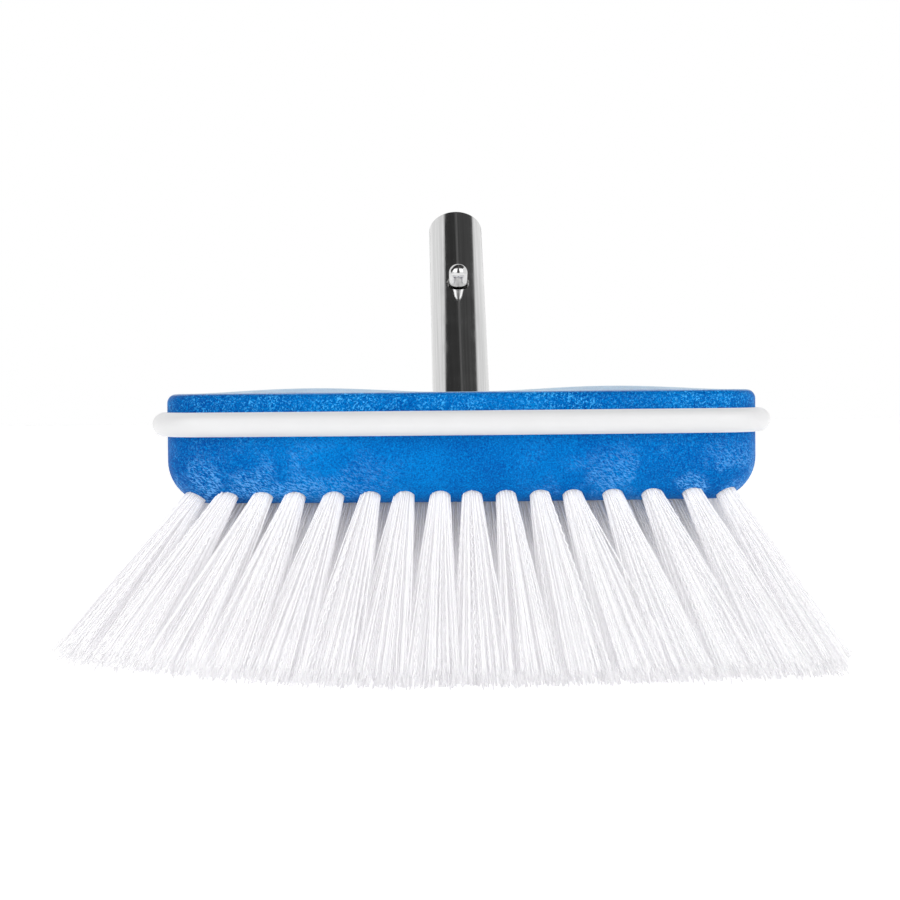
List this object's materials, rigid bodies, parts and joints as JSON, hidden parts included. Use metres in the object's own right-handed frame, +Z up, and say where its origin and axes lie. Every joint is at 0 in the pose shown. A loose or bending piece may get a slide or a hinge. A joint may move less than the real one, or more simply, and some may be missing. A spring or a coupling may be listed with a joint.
{
  "type": "pool wall brush",
  "caption": "Wide pool wall brush with a moulded blue block, a white bumper ring, flared white bristle tufts and a slanted steel tube handle with a spring snap button.",
  "frame": {"origin": "middle of the brush's length and depth, on the plane that the bristle tips stand on", "axes": "+X along the block, +Y from the front to the back, the way the handle leans, +Z up from the bristle tips to the handle"},
  "size_m": [0.3322, 0.1644, 0.2089],
  "materials": {
    "blue_foam": "moulded structural foam with pale swirls",
    "white_vinyl": "smooth soft vinyl",
    "white_bristle": "crimped polypropylene filament",
    "stainless": "drawn along the tube, satin",
    "polished_steel": "polished",
    "spring_steel": "rolled strip",
    "dark_plastic": "moulded"
  },
  "bodies": {
    "brush": {"block": "blue_foam", "bumper": "white_vinyl", "handle_tube": "stainless", "handle_cross_pin": "stainless", "handle_end_plug": "dark_plastic", "spring_clip": "spring_steel", "tuft_front_01": "white_bristle", "tuft_front_02": "white_bristle", "tuft_front_03": "white_bristle", "tuft_front_04": "white_bristle", "tuft_front_05": "white_bristle", "tuft_front_06": "white_bristle", "tuft_front_07": "white_bristle", "tuft_front_08": "white_bristle", "tuft_front_09": "white_bristle", "tuft_front_10": "white_bristle", "tuft_front_11": "white_bristle", "tuft_front_12": "white_bristle", "tuft_front_13": "white_bristle", "tuft_front_14": "white_bristle", "tuft_front_15": "white_bristle", "tuft_front_16": "white_bristle", "tuft_back_01": "white_bristle", "tuft_back_02": "white_bristle", "tuft_back_03": "white_bristle", "tuft_back_04": "white_bristle", "tuft_back_05": "white_bristle", "tuft_back_06": "white_bristle", "tuft_back_07": "white_bristle", "tuft_back_08": "white_bristle", "tuft_back_09": "white_bristle", "tuft_back_10": "white_bristle", "tuft_back_11": "white_bristle", "tuft_back_12": "white_bristle", "tuft_back_13": "white_bristle", "tuft_back_14": "white_bristle", "tuft_back_15": "white_bristle", "tuft_back_16": "white_bristle", "tuft_left_end_1": "white_bristle", "tuft_left_end_2": "white_bristle", "tuft_right_end_1": "white_bristle", "tuft_right_end_2": "white_bristle", "tuft_row_inner_front": "white_bristle", "tuft_row_middle": "white_bristle", "tuft_row_inner_back": "white_bristle"},
    "button": {"snap_button": "polished_steel"}
  },
  "joints": [
    {"name": "button_press", "type": "slide", "parent": "brush", "child": "button", "axis": [0, 0.7071, -0.7071], "range_m": [0, 0.01], "stiffness_N_per_m": 1200, "springref_m": -0.003, "deforming": ["spring_clip"]}
  ]
}
